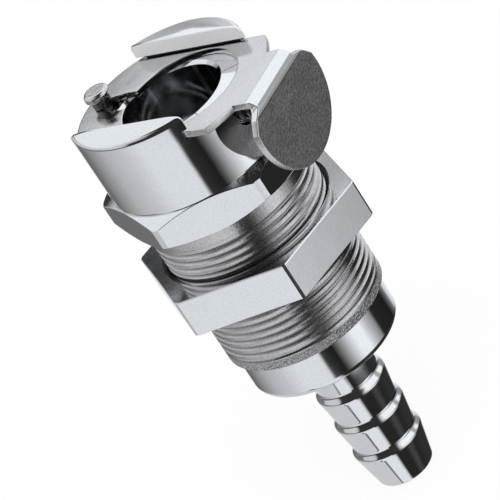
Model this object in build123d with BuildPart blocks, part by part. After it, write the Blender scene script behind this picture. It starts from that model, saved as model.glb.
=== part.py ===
"""Quick disconnect coupling body, chrome-plated, for mounting through a panel.

Origin: centre of the hexagonal flange's lower face, which seats on the panel.
Axes: +Z along the coupling's axis towards the mating face, +X towards the thumb pad.
All sizes are in millimetres.
"""
from build123d import *
from math import cos, radians, sin, tan
import os

# Running and seating clearances
slide_clear = 0.05
pin_clear = 0.06
spigot_clear = 0.04
valve_gap = 0.05

# Head of the housing
head_r = 11.75
head_top = 15.4
crown_width = 1.35
crown_drop = 0.2
crown_round = 0.4
ear_thick = 2.0
ear_half_gap = 8.0
slot_depth = 3.2
bore_r = 6.9
bore_lead = 0.4
bore_depth = 14.6

# Panel flange
flange_flats = 23.8
flange_corner_r = 13.5
flange_thick = 4.55
flange_chamfer_angle = 30.0
neck_length = 1.8

# Threaded barrel
thread_r = 10.7
thread_pitch = 1.06
thread_depth = 0.35
thread_turns = 18
thread_crest = 0.5
barrel_lead = 0.5

# Panel nut
nut_wall = 1.95
nut_thick = 5.2
nut_gap_from_seat = 6.7
nut_turned = 17.8
nut_edge = 0.12
nut_hole_lead = 0.6

# Thumb latch
plate_thick = 0.9
plate_half_width = 8.45
plate_tail_inset = 0.25
plate_overhang = 2.05
latch_travel = 2.6
latch_hole_r = 7.65
neck_half_width = 4.85
pad_r = 7.68
pad_drop = 4.3
pad_flange_gap = 1.05
pad_flare = 1.55
pad_shoulder = 1.5
bend_inner_r = 0.7
key_clear = 0.12

# Trigger pin and the well it stands in
pin_wall = 0.59
pin_r = 1.5
pin_waist_r = 0.95
pin_height = 1.98
pin_round = 0.35
pin_play = 0.1
pin_cone = 0.9
pin_body_length = 2.6
pin_well_depth = 7.2

# Recess in the head's side behind the thumb pad, and the pocket of its spring
recess_r = 6.3
recess_z = 9.9
recess_depth = 1.85
pocket_r = 2.3
pocket_roof = 0.3
pocket_wall = 0.8

# Shut-off valve inside the housing
throat_r = 4.6
throat_length = 1.2
seat_cone = 1.6
chamber_r = 7.3
poppet_lip = 0.25
poppet_side_gap = 1.0
poppet_disc_thick = 1.5
poppet_nose_r = 3.4
poppet_flute_r = 0.9
poppet_flutes = 4
poppet_seal_wire = 0.9
stem_r = 1.6
stem_overrun = 0.87
guide_thick = 1.6
guide_ring_width = 1.9
guide_hub_r = 3.0
guide_hub_height = 3.0
guide_spoke_width = 1.6
guide_spokes = 3

# Rear end with the hose stem
spigot_bore_r = 8.2
spigot_length = 5.0
spigot_lead = 0.4
collar_r = 9.93
collar_length = 5.5
collar_round = 0.9
stem_neck_r = 4.19
barb_r = 4.72
first_barb = 10.5
barb_pitch = 4.7
barb_count = 3
barb_rise = 0.8
barb_land = 0.6
tip_r = 3.75
tip_length = 26.3
tip_round = 0.3
flow_r = 2.6
inlet_r = 5.0
inlet_cone_start = 2.4
adapter_seal_wire = 1.0
seal_groove_width = 1.3
seal_groove_drop = 1.05

# Coil springs: wire, room beside the coils, and number of turns
latch_wire = 0.45
latch_spring_room = 0.275
latch_turns = 7
pin_wire = 0.28
pin_spring_room = 0.32
pin_turns = 5
valve_wire = 0.7
valve_spring_room = 0.75
valve_turns = 5

# Heights of the head and the latch plate
crown_edge_r = head_r - crown_round
crown_edge_z = head_top - crown_drop
round_z = crown_edge_z - crown_round
slot_floor = head_top - slot_depth
ear_under = head_top - ear_thick
plate_bottom = slot_floor + slide_clear
plate_top = plate_bottom + plate_thick

# Reach of the thumb pad: pressed home, it still clears the flange
bend_outer_r = bend_inner_r + plate_thick
pad_inner_x = flange_flats / 2 + pad_flange_gap + latch_travel
pad_face_x = pad_inner_x + plate_thick
bend_x = pad_face_x - bend_outer_r
bend_z = plate_top - bend_outer_r
pad_z = plate_top - pad_drop

# Trigger pin, its well and its keyhole
well_r = pin_r + pin_clear
well_floor = slot_floor - pin_well_depth
pin_x = -bore_r - pin_wall - well_r
key_end_r = pin_waist_r + key_clear
key_wide_r = pin_r + key_clear
pin_top = plate_top + pin_height
waist_top = plate_top + pin_play
waist_end = plate_bottom - pin_play
pin_end = waist_end - pin_cone - pin_body_length

# Pocket of the latch spring
pocket_x = bore_r + pocket_wall
pocket_z = slot_floor - pocket_roof - pocket_r
recess_x = head_r - recess_depth

# Valve seat and chamber, down to the barrel's end
seat_top = slot_floor - bore_depth
throat_end = seat_top - throat_length
seat_cone_r = throat_r + seat_cone
seat_end = throat_end - seat_cone
barrel_end = -neck_length - thread_turns * thread_pitch - barrel_lead
spigot_end = barrel_end + spigot_length
guide_bottom = spigot_end - guide_thick
guide_hole_r = stem_r + pin_clear

# Rear end
spigot_r = spigot_bore_r - spigot_clear
seal_groove_r = spigot_bore_r - adapter_seal_wire
seal_groove_top = guide_bottom - seal_groove_drop
seal_groove_end = seal_groove_top - seal_groove_width
collar_end = barrel_end - collar_length
inlet_end = collar_end + inlet_cone_start
tip_end = barrel_end - tip_length

# Seal ring of the poppet, just under the seat's cone, and the poppet that carries it
seat_reach = (poppet_seal_wire / 2 + valve_gap) * cos(radians(45))
seal_mid_r = (throat_r + seat_cone_r) / 2 - seat_reach
seal_mid_z = (throat_end + seat_end) / 2 - seat_reach
poppet_groove_r = seal_mid_r - poppet_seal_wire / 2
poppet_top = seat_top - valve_gap
lip_end = seal_mid_z + poppet_seal_wire / 2
lip_top = lip_end + poppet_lip
groove_end = seal_mid_z - poppet_seal_wire / 2
lip_r = throat_r + throat_end - lip_top - 3 * valve_gap
disc_r = chamber_r - poppet_side_gap
disc_top = seat_end - 3 * valve_gap
disc_bottom = disc_top - poppet_disc_thick
stem_end = guide_bottom - stem_overrun

os.makedirs("parts", exist_ok=True)


# Housing: flange, head, neck and threaded barrel in one piece
chamfer_height = (flange_corner_r - flange_flats / 2) * tan(radians(flange_chamfer_angle))
with BuildPart() as coupling_housing:
    with BuildSketch(Plane.XY):
        RegularPolygon(flange_flats / 2, 6, major_radius=False, rotation=30)
    extrude(amount=flange_thick)
    # Both faces of the hexagon are turned down at the corners
    with BuildSketch(Plane.XZ):
        Polygon(
            (0, 0),
            (flange_flats / 2, 0),
            (flange_corner_r, chamfer_height),
            (flange_corner_r, flange_thick - chamfer_height),
            (flange_flats / 2, flange_thick),
            (0, flange_thick),
            align=None,
        )
    revolve(axis=Axis.Z, mode=Mode.INTERSECT)
    # Head with a slightly crowned top and a rounded rim
    with BuildSketch(Plane.XZ):
        with BuildLine():
            Polyline(
                (crown_edge_r, crown_edge_z),
                (head_r - crown_round - crown_width, head_top),
                (0, head_top),
                (0, flange_thick),
                (head_r, flange_thick),
                (head_r, round_z),
            )
            RadiusArc((head_r, round_z), (crown_edge_r, crown_edge_z), -crown_round)
        make_face()
    revolve(axis=Axis.Z)
    # Neck and barrel, the thread drawn as one groove for each pitch
    with BuildSketch(Plane.XZ):
        with BuildLine():
            flank = (thread_pitch - thread_crest) / 2
            outline = [(0, 0), (thread_r, 0)]
            for turn in range(thread_turns):
                start = -neck_length - turn * thread_pitch
                outline.append((thread_r, start))
                outline.append((thread_r - thread_depth, start - flank))
                outline.append((thread_r, start - 2 * flank))
            outline.append((thread_r, barrel_end + barrel_lead))
            outline.append((thread_r - barrel_lead, barrel_end))
            outline.append((0, barrel_end))
            Polyline(*outline, close=True)
        make_face()
    revolve(axis=Axis.Z)
    # Bore for the plug, valve throat and seat, valve chamber and rear spigot bore
    with BuildSketch(Plane.XZ):
        Polygon(
            (0, head_top),
            (bore_r + bore_lead, head_top),
            (bore_r + bore_lead, slot_floor),
            (bore_r, slot_floor - bore_lead),
            (bore_r, seat_top),
            (throat_r, seat_top),
            (throat_r, throat_end),
            (seat_cone_r, seat_end),
            (chamber_r, seat_end),
            (chamber_r, spigot_end),
            (spigot_bore_r, spigot_end),
            (spigot_bore_r, barrel_end),
            (0, barrel_end),
            align=None,
        )
    revolve(axis=Axis.Z, mode=Mode.SUBTRACT)
    # Slot across the head, wider under the ears where the latch plate slides
    with BuildSketch(Plane.XY.offset(slot_floor)):
        Rectangle(2 * flange_corner_r, 2 * ear_half_gap)
    extrude(amount=slot_depth, mode=Mode.SUBTRACT)
    with BuildSketch(Plane.XY.offset(slot_floor)):
        Rectangle(2 * flange_corner_r, 2 * (plate_half_width + slide_clear))
    extrude(amount=ear_under - slot_floor, mode=Mode.SUBTRACT)
    # Well of the trigger pin
    with BuildSketch(Plane.XY.offset(well_floor)):
        with Locations((pin_x, 0)):
            Circle(well_r)
    extrude(amount=pin_well_depth, mode=Mode.SUBTRACT)
    # Flat recess behind the thumb pad, down to the flange, and the pocket of its spring
    with BuildSketch(Plane.YZ.offset(recess_x)):
        with Locations((0, recess_z)):
            Circle(recess_r)
        with Locations((0, flange_thick)):
            Rectangle(
                2 * recess_r,
                2 * recess_r,
                align=(Align.CENTER, Align.MIN),
                mode=Mode.INTERSECT,
            )
    extrude(amount=head_r, mode=Mode.SUBTRACT)
    with BuildSketch(Plane.YZ.offset(pocket_x)):
        with Locations((0, pocket_z)):
            Circle(pocket_r)
    extrude(amount=head_r, mode=Mode.SUBTRACT)
coupling_housing.part.label = "coupling_housing"
export_step(coupling_housing.part, "parts/coupling_housing.step")


# Thumb latch: flat plate with its round opening, bent down into a round pad
with BuildPart() as thumb_latch:
    with BuildSketch(Plane.XY.offset(plate_bottom)):
        Circle(head_r - plate_tail_inset)
        Rectangle(2 * head_r, 2 * plate_half_width, mode=Mode.INTERSECT)
    extrude(amount=plate_thick)
    with BuildSketch(Plane.XY.offset(plate_bottom)):
        Circle(head_r + plate_overhang)
        Rectangle(
            head_r + plate_overhang,
            2 * plate_half_width,
            align=(Align.MIN, Align.CENTER),
            mode=Mode.INTERSECT,
        )
        Rectangle(bend_x, 2 * neck_half_width, align=(Align.MIN, Align.CENTER))
    extrude(amount=plate_thick)
    # Quarter bend and the strip below it, cut to the outline seen from the front: the neck flares
    # out over the end of the bend and runs into the round pad
    with BuildPart(mode=Mode.PRIVATE) as pressed:
        with BuildSketch(Plane.XZ):
            with Locations((bend_x, bend_z)):
                Circle(bend_outer_r)
                Circle(bend_inner_r, mode=Mode.SUBTRACT)
                Rectangle(
                    bend_outer_r,
                    bend_outer_r,
                    align=(Align.MIN, Align.MIN),
                    mode=Mode.INTERSECT,
                )
            with Locations((pad_inner_x, bend_z)):
                Rectangle(
                    plate_thick,
                    bend_z - pad_z + pad_r,
                    align=(Align.MIN, Align.MAX),
                )
        extrude(amount=pad_r, both=True)
        with BuildSketch(Plane.YZ.offset(bend_x)):
            with Locations((0, pad_z)):
                Circle(pad_r)
            Polygon(
                (-neck_half_width, plate_bottom),
                (neck_half_width, plate_bottom),
                (neck_half_width + pad_flare, bend_z),
                (pad_r, bend_z - pad_shoulder),
                (pad_r, pad_z - pad_r),
                (-pad_r, pad_z - pad_r),
                (-pad_r, bend_z - pad_shoulder),
                (-neck_half_width - pad_flare, bend_z),
                align=None,
                mode=Mode.INTERSECT,
            )
            with Locations((0, bend_z)):
                Rectangle(
                    2 * neck_half_width,
                    bend_outer_r,
                    align=(Align.CENTER, Align.MIN),
                )
        extrude(amount=bend_outer_r, mode=Mode.INTERSECT)
    add(pressed.part)
    # Opening for the plug, concentric with the bore once the latch is pressed home
    with BuildSketch(Plane.XY.offset(plate_bottom)):
        with Locations((latch_travel, 0)):
            Circle(latch_hole_r)
    extrude(amount=plate_thick, mode=Mode.SUBTRACT)
    # Keyhole for the trigger pin, widening towards the opening
    with BuildSketch(Plane.XY.offset(plate_bottom)):
        with Locations((pin_x, 0)):
            Circle(key_end_r)
        with Locations((pin_x + latch_travel, 0)):
            Circle(key_wide_r)
        make_hull()
        with Locations((pin_x + latch_travel, 0)):
            Rectangle(latch_hole_r / 2, 2 * key_wide_r, align=(Align.MIN, Align.CENTER))
    extrude(amount=plate_thick, mode=Mode.SUBTRACT)
thumb_latch.part.label = "thumb_latch"
export_step(thumb_latch.part, "parts/thumb_latch.step")


# Trigger pin: head above the plate, waist in the keyhole, cone and guided body below
with BuildPart() as trigger_pin:
    with BuildSketch(Plane(origin=(pin_x, 0, 0), x_dir=(1, 0, 0), z_dir=(0, -1, 0))):
        Polygon(
            (0, pin_top),
            (pin_r - pin_round, pin_top),
            (pin_r, pin_top - pin_round),
            (pin_r, waist_top),
            (pin_waist_r, waist_top),
            (pin_waist_r, waist_end),
            (pin_r, waist_end - pin_cone),
            (pin_r, pin_end),
            (0, pin_end),
            align=None,
        )
    revolve(axis=Axis((pin_x, 0, 0), (0, 0, 1)))
trigger_pin.part.label = "trigger_pin"
export_step(trigger_pin.part, "parts/trigger_pin.step")


# Spring of the trigger pin, on the floor of the well
with BuildPart() as trigger_pin_spring:
    with BuildLine() as pin_coil:
        height = pin_end - well_floor - pin_wire
        Helix(
            pitch=height / pin_turns,
            height=height,
            radius=well_r - pin_spring_room - pin_wire / 2,
            center=(pin_x, 0, well_floor + pin_wire / 2),
        )
    with BuildSketch(Plane(origin=pin_coil.line @ 0, z_dir=pin_coil.line % 0)):
        Circle(pin_wire / 2)
    sweep(path=pin_coil.line, is_frenet=True)
trigger_pin_spring.part.label = "trigger_pin_spring"
export_step(trigger_pin_spring.part, "parts/trigger_pin_spring.step")


# Spring of the thumb latch, from the pocket's floor to the back of the pad
with BuildPart() as latch_spring:
    with BuildLine() as latch_coil:
        height = pad_inner_x - pocket_x - latch_wire
        Helix(
            pitch=height / latch_turns,
            height=height,
            radius=pocket_r - latch_spring_room - latch_wire / 2,
            center=(pocket_x + latch_wire / 2, 0, pocket_z),
            direction=(1, 0, 0),
        )
    with BuildSketch(Plane(origin=latch_coil.line @ 0, z_dir=latch_coil.line % 0)):
        Circle(latch_wire / 2)
    sweep(path=latch_coil.line, is_frenet=True)
latch_spring.part.label = "latch_spring"
export_step(latch_spring.part, "parts/latch_spring.step")


# Panel nut: plain hexagon with finely broken edges, turned as it was left on the barrel
nut_top = -nut_gap_from_seat
nut_bottom = nut_top - nut_thick
nut_hole_r = thread_r + slide_clear
nut_half_flats = nut_hole_r + nut_wall
with BuildPart() as panel_nut:
    with BuildSketch(Plane.XY.offset(nut_bottom)):
        RegularPolygon(nut_half_flats, 6, major_radius=False, rotation=nut_turned)
    extrude(amount=nut_thick)
    chamfer(panel_nut.edges(), nut_edge)
    with BuildSketch(Plane.XZ):
        Polygon(
            (0, nut_top),
            (nut_hole_r + nut_hole_lead, nut_top),
            (nut_hole_r, nut_top - nut_hole_lead),
            (nut_hole_r, nut_bottom + nut_hole_lead),
            (nut_hole_r + nut_hole_lead, nut_bottom),
            (0, nut_bottom),
            align=None,
        )
    revolve(axis=Axis.Z, mode=Mode.SUBTRACT)
panel_nut.part.label = "panel_nut"
export_step(panel_nut.part, "parts/panel_nut.step")


# Rear end: spigot with its seal groove, round collar, barbed hose stem and flow passage
with BuildPart() as barb_adapter:
    with BuildSketch(Plane.XZ):
        with BuildLine():
            outline = [
                (flow_r, tip_end),
                (flow_r, inlet_end),
                (inlet_r, inlet_end + inlet_r - flow_r),
                (inlet_r, guide_bottom),
                (spigot_r - spigot_lead, guide_bottom),
                (spigot_r, guide_bottom - spigot_lead),
                (spigot_r, seal_groove_top),
                (seal_groove_r, seal_groove_top),
                (seal_groove_r, seal_groove_end),
                (spigot_r, seal_groove_end),
                (spigot_r, barrel_end),
                (collar_r, barrel_end),
                (collar_r, collar_end),
                (stem_neck_r, collar_end),
            ]
            for barb in range(barb_count):
                start = barrel_end - first_barb - barb * barb_pitch
                outline.append((stem_neck_r, start))
                outline.append((barb_r, start - barb_rise))
                outline.append((barb_r, start - barb_rise - barb_land))
            outline.append((tip_r, tip_end))
            Polyline(*outline, close=True)
        make_face()
        fillet(vertices().sort_by_distance((collar_r, collar_end))[0], collar_round)
        fillet(vertices().sort_by_distance((tip_r, tip_end))[0], tip_round)
    revolve(axis=Axis.Z)
barb_adapter.part.label = "barb_adapter"
export_step(barb_adapter.part, "parts/barb_adapter.step")


# Seal ring between housing and rear end
with BuildPart() as adapter_seal:
    with BuildSketch(Plane.XZ):
        with Locations((spigot_bore_r - adapter_seal_wire / 2, (seal_groove_top + seal_groove_end) / 2)):
            Circle(adapter_seal_wire / 2)
    revolve(axis=Axis.Z)
adapter_seal.part.label = "adapter_seal"
export_step(adapter_seal.part, "parts/adapter_seal.step")


# Valve poppet: nose in the throat, lip and disc about the seal ring, stem in the guide
with BuildPart() as valve_poppet:
    with BuildSketch(Plane.XZ):
        Polygon(
            (0, poppet_top),
            (poppet_nose_r, poppet_top),
            (poppet_nose_r, lip_top),
            (lip_r, lip_top),
            (lip_r, lip_end),
            (poppet_groove_r, lip_end),
            (poppet_groove_r, groove_end),
            (seal_mid_r, groove_end),
            (seal_mid_r, disc_top),
            (disc_r, disc_top),
            (disc_r, disc_bottom),
            (stem_r, disc_bottom),
            (stem_r, stem_end),
            (0, stem_end),
            align=None,
        )
    revolve(axis=Axis.Z)
    # Flutes down the nose let the flow past the plug's face
    with BuildSketch(Plane.XY.offset(lip_top)):
        with PolarLocations(poppet_nose_r, poppet_flutes, start_angle=45):
            Circle(poppet_flute_r)
    extrude(amount=poppet_top - lip_top, mode=Mode.SUBTRACT)
valve_poppet.part.label = "valve_poppet"
export_step(valve_poppet.part, "parts/valve_poppet.step")


# Seal ring of the poppet
with BuildPart() as poppet_seal:
    with BuildSketch(Plane.XZ):
        with Locations((seal_mid_r, seal_mid_z)):
            Circle(poppet_seal_wire / 2)
    revolve(axis=Axis.Z)
poppet_seal.part.label = "poppet_seal"
export_step(poppet_seal.part, "parts/poppet_seal.step")


# Valve spring, from the guide to the poppet's disc
with BuildPart() as valve_spring:
    with BuildLine() as valve_coil:
        height = disc_bottom - spigot_end - valve_wire
        Helix(
            pitch=height / valve_turns,
            height=height,
            radius=guide_hub_r + valve_spring_room + valve_wire / 2,
            center=(0, 0, spigot_end + valve_wire / 2),
        )
    with BuildSketch(Plane(origin=valve_coil.line @ 0, z_dir=valve_coil.line % 0)):
        Circle(valve_wire / 2)
    sweep(path=valve_coil.line, is_frenet=True)
valve_spring.part.label = "valve_spring"
export_step(valve_spring.part, "parts/valve_spring.step")


# Valve guide: ring, spokes and hub, held between the housing's step and the spigot
with BuildPart() as valve_guide:
    with BuildSketch(Plane.XY.offset(guide_bottom)):
        Circle(spigot_r)
        Circle(spigot_r - guide_ring_width, mode=Mode.SUBTRACT)
        with PolarLocations(0, guide_spokes):
            Rectangle(
                spigot_r - guide_ring_width / 2,
                guide_spoke_width,
                align=(Align.MIN, Align.CENTER),
            )
        Circle(guide_hub_r)
        Circle(guide_hole_r, mode=Mode.SUBTRACT)
    extrude(amount=guide_thick)
    with BuildSketch(Plane.XY.offset(guide_bottom)):
        Circle(guide_hub_r)
        Circle(guide_hole_r, mode=Mode.SUBTRACT)
    extrude(amount=guide_hub_height)
valve_guide.part.label = "valve_guide"
export_step(valve_guide.part, "parts/valve_guide.step")
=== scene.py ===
"""Looks of a panel-mounted quick disconnect coupling body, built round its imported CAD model.

Every class below is one sub-assembly. Its fields are its sizes in millimetres, its methods work
out the surfaces of its pieces as grids of points, and dress() hangs them on the moving bodies.
The frame is the part's own: +Z along the coupling's axis, +X towards the thumb pad, and the
origin in the middle of the flange's lower face.
"""

import logging
import math
from dataclasses import dataclass
from enum import Enum
from functools import cached_property
from typing import Callable

import bmesh
import bpy
import numpy as np
from mathutils import Matrix, Vector

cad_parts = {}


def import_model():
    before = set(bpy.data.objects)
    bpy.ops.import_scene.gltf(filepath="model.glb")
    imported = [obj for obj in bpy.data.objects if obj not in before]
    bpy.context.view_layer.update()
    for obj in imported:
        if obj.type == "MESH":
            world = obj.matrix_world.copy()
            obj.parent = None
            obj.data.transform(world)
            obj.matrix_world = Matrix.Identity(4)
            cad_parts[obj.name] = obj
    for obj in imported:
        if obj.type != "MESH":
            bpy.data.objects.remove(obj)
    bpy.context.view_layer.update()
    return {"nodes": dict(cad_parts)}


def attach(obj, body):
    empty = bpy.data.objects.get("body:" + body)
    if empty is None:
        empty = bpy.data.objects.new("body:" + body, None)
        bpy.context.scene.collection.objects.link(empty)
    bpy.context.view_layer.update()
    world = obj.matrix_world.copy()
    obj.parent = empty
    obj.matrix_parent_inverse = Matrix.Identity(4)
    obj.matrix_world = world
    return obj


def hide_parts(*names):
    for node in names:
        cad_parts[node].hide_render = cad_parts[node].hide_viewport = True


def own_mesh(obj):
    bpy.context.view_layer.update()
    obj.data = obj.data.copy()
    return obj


LOG = logging.getLogger("coupling")
MM = 0.001
WELD = 2e-7  # metres within which points become one
TINY = 1e-6  # keeps a division from reaching zero
ON_LINE = 1e-4  # mm within which a point lies on a line
TOUCH = 0.02  # mm within which a face belongs to a surface
SQUARE = 0.99  # least share of an axis in the normal of a face square to it
BREAK = 0.3  # place of a broken edge's middle point, as a share of the edge
HOLD = 1.6  # place of the points that hold the face beside it flat
NOISE_SPAN = (0.3, 0.7)  # where most values of a noise texture lie
OCTAVES = 3.0  # octaves of a fine grain


class Slot(Enum):
    """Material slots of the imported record."""

    BODY = "plated_body"
    LATCH = "plated_latch"
    NUT = "plated_nut"
    PIN = "steel_pin"
    SPRING = "spring_steel"
    SEAL = "seal_rubber"
    VALVE = "valve_plastic"


class Body(Enum):
    """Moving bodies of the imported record."""

    HOUSING = "housing"
    LATCH = "latch"
    PIN = "pin"
    NUT = "nut"
    VALVE = "valve"


def joining(operation: str, swapped: bool = False) -> Callable:
    """Makes an operator of Value.

    Args:
        operation: the Math node's operation.
        swapped: whether the other value comes first.

    Returns:
        A method that joins the Value and another value in one Math node.
    """
    def join(self: "Value", other: "Value | float") -> "Value":
        """The two values joined."""
        pair = (other, self) if swapped else (self, other)
        return self.graph.node("ShaderNodeMath", {"operation": operation}, *pair)

    return join


class Value:
    """A socket that can be written into sums: each operator adds one Math node."""

    __add__, __radd__ = joining("ADD"), joining("ADD", True)
    __sub__, __rsub__ = joining("SUBTRACT"), joining("SUBTRACT", True)
    __mul__, __rmul__ = joining("MULTIPLY"), joining("MULTIPLY", True)
    __truediv__, __mod__ = joining("DIVIDE"), joining("FLOORED_MODULO")
    angle_over = joining("ARCTAN2")

    def __init__(self, graph: "Graph", socket: bpy.types.NodeSocket) -> None:
        """Wraps a socket.

        Args:
            graph: the node tree that the socket is in.
            socket: the socket that gives the number.
        """
        self.graph = graph
        self.socket = socket

    def root(self) -> "Value":
        """Square root."""
        return self.graph.node("ShaderNodeMath", {"operation": "SQRT"}, self)

    def arcsine(self) -> "Value":
        """Angle in radians whose sine this is."""
        return self.graph.node("ShaderNodeMath", {"operation": "ARCSINE"}, self)

    def step(self, start: float, end: float, low: float = 0.0, high: float = 1.0) -> "Value":
        """Smooth step: low up to start, high from end on."""
        smooth = {"interpolation_type": "SMOOTHSTEP"}
        return self.graph.node("ShaderNodeMapRange", smooth, self, start, end, low, high)


class Graph:
    """Adds nodes to one material's or world's tree."""

    def __init__(self, tree: bpy.types.NodeTree) -> None:
        """Empties the tree.

        Args:
            tree: the node tree to write into.
        """
        self.tree = tree
        tree.nodes.clear()

    def node(
        self, kind: str, settings: dict | None = None, *values: object, output: int | str = 0
    ) -> Value:
        """Adds one node.

        Args:
            kind: the node's type name.
            settings: attributes to set first; "stops" fills a colour ramp.
            values: numbers, tuples or Values for the first inputs in order, or one dict of
                them by name or index.
            output: index or name of the output that is returned.

        Returns:
            The chosen output.
        """
        made = self.tree.nodes.new(kind)
        for key, value in (settings or {}).items():
            if key == "stops":
                self._fill(made.color_ramp, value)
            else:
                setattr(made, key, value)
        sockets = values[0] if values and isinstance(values[0], dict) else dict(enumerate(values))
        for place, value in sockets.items():
            socket = made.inputs[place]
            if isinstance(value, Value):
                self.tree.links.new(value.socket, socket)
            elif socket.type == "RGBA":
                socket.default_value = (*value[:3], 1.0)
            else:
                socket.default_value = value
        return Value(self, made.outputs[output] if made.outputs else None)

    @staticmethod
    def _fill(ramp: bpy.types.ColorRamp, stops: list) -> None:
        """Gives a colour ramp its stops.

        Args:
            ramp: the ramp.
            stops: (place, (r, g, b)) of each stop in order.
        """
        while len(ramp.elements) > 1:
            ramp.elements.remove(ramp.elements[-1])
        for number, (place, colour) in enumerate(stops):
            stop = ramp.elements[0] if number == 0 else ramp.elements.new(place)
            stop.position = place
            stop.color = (*colour, 1.0)

    def place(self) -> Value:
        """Object coordinates."""
        return self.node("ShaderNodeTexCoord", output="Object")

    def noise(self, scale: float, detail: float = 2.0) -> Value:
        """Noise from 0 to 1 on Object coordinates: scale in lumps per metre, detail in octaves."""
        inputs = {"Vector": self.place(), "Scale": scale, "Detail": detail}
        return self.node("ShaderNodeTexNoise", None, inputs)

    def radius(self) -> Value:
        """Distance from the coupling's axis in metres."""
        x, y, _ = self.split(self.place())
        return (x * x + y * y).root()

    def split(self, vector: Value) -> tuple:
        """X, Y and Z of a vector."""
        spot = self.node("ShaderNodeSeparateXYZ", None, vector)
        return tuple(Value(self, out) for out in spot.socket.node.outputs)

    def mix(self, share: Value, low: "tuple | Value", high: "tuple | Value") -> Value:
        """Colour between low and high: low where share is 0, high where it is 1."""
        return self.node("ShaderNodeMix", {"data_type": "RGBA"}, {0: share, 6: low, 7: high}, output=2)


def new_material(name: str) -> tuple:
    """Makes an empty material.

    Args:
        name: its name.

    Returns:
        The material and the graph that writes its nodes.
    """
    made = bpy.data.materials.new(name)
    made.use_nodes = True
    return made, Graph(made.node_tree)


@dataclass(frozen=True)
class Plated:
    """Bright plating: a mirror with a slow ripple, faint haze and, where asked, a fine grain.

    With crest_r it is rougher and painted darker from root_r inwards, a painted shade in the grooves, and
    with dim_to it is painted dark from that height up, a painted shade.
    """

    name: str
    colour: tuple = (0.86, 0.87, 0.89)
    shade: tuple = (0.80, 0.81, 0.83)
    haze: tuple = (0.05, 0.10)
    ripple: float = 0.02
    ripple_scale: float = 180.0
    grain: float = 0.0
    grain_scale: float = 4000.0
    # Painted shade in grooves: inwards of crest_r the colour turns darker, down to root_r.
    root_r: float = 0.0
    crest_r: float = 0.0
    root_painted_shade: tuple = (0.2, 0.19, 0.19)
    root_haze: float = 0.3
    root_fray: float = 0.12
    # Painted shade: from dim_from up to dim_to the colour turns dark.
    dim_from: float = 0.0
    dim_to: float = 0.0
    dim_painted_shade: tuple = (0.08, 0.08, 0.08)
    dim_fray: float = 2.0

    def material(self) -> bpy.types.Material:
        """Makes the material.

        Returns:
            A metal whose colour, roughness and bump vary with Object coordinates.
        """
        made, graph = new_material(self.name)
        slow = graph.noise(self.ripple_scale)
        fine = graph.noise(self.grain_scale, OCTAVES)
        height = slow * self.ripple + fine * self.grain
        normal = graph.node("ShaderNodeBump", None, {"Distance": MM, "Height": height})
        haze = slow.step(*NOISE_SPAN, *self.haze) + fine * (self.grain / 2)
        colour = graph.mix(fine.step(*NOISE_SPAN), self.shade, self.colour)
        # Painted shade: darker colour in the grooves, from crest_r inwards.
        if self.crest_r:
            depth = graph.radius() + (fine - 0.5) * (self.root_fray * MM)
            crest = depth.step(self.root_r * MM, self.crest_r * MM)
            colour = graph.mix(crest, self.root_painted_shade, colour)
            haze = haze + (1 - crest) * self.root_haze
        # Painted shade: darker colour from dim_from upwards.
        if self.dim_to:
            _, _, up = graph.split(graph.place())
            height = up + (slow - 0.5) * (self.dim_fray * MM)
            colour = graph.mix(height.step(self.dim_from * MM, self.dim_to * MM), colour, self.dim_painted_shade)
        metal = graph.node(
            "ShaderNodeBsdfPrincipled", None,
            {"Base Color": colour, "Metallic": 1.0, "Roughness": haze, "Normal": normal},
        )
        graph.node("ShaderNodeOutputMaterial", None, metal)
        return made


@dataclass(frozen=True)
class Moulded:
    """Dull surface, slightly uneven in colour and roughness, with a fine skin."""

    name: str
    colour: tuple
    roughness: tuple
    skin: float = 0.02
    skin_scale: float = 3000.0
    lift: float = 1.4
    base: float = 0.004

    def material(self) -> bpy.types.Material:
        """Makes the material.

        Returns:
            A plain dielectric with a fine bump.
        """
        made, graph = new_material(self.name)
        fine = graph.noise(self.skin_scale, OCTAVES)
        paler = tuple(min(1.0, c * self.lift + self.base) for c in self.colour)
        normal = graph.node("ShaderNodeBump", None, {"Distance": MM, "Height": fine * self.skin})
        plastic = graph.node("ShaderNodeBsdfPrincipled", None, {
            "Base Color": graph.mix(fine, self.colour, paler),
            "Roughness": fine.step(0.2, 0.8, *self.roughness), "Normal": normal,
        })
        graph.node("ShaderNodeOutputMaterial", None, plastic)
        return made


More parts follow.
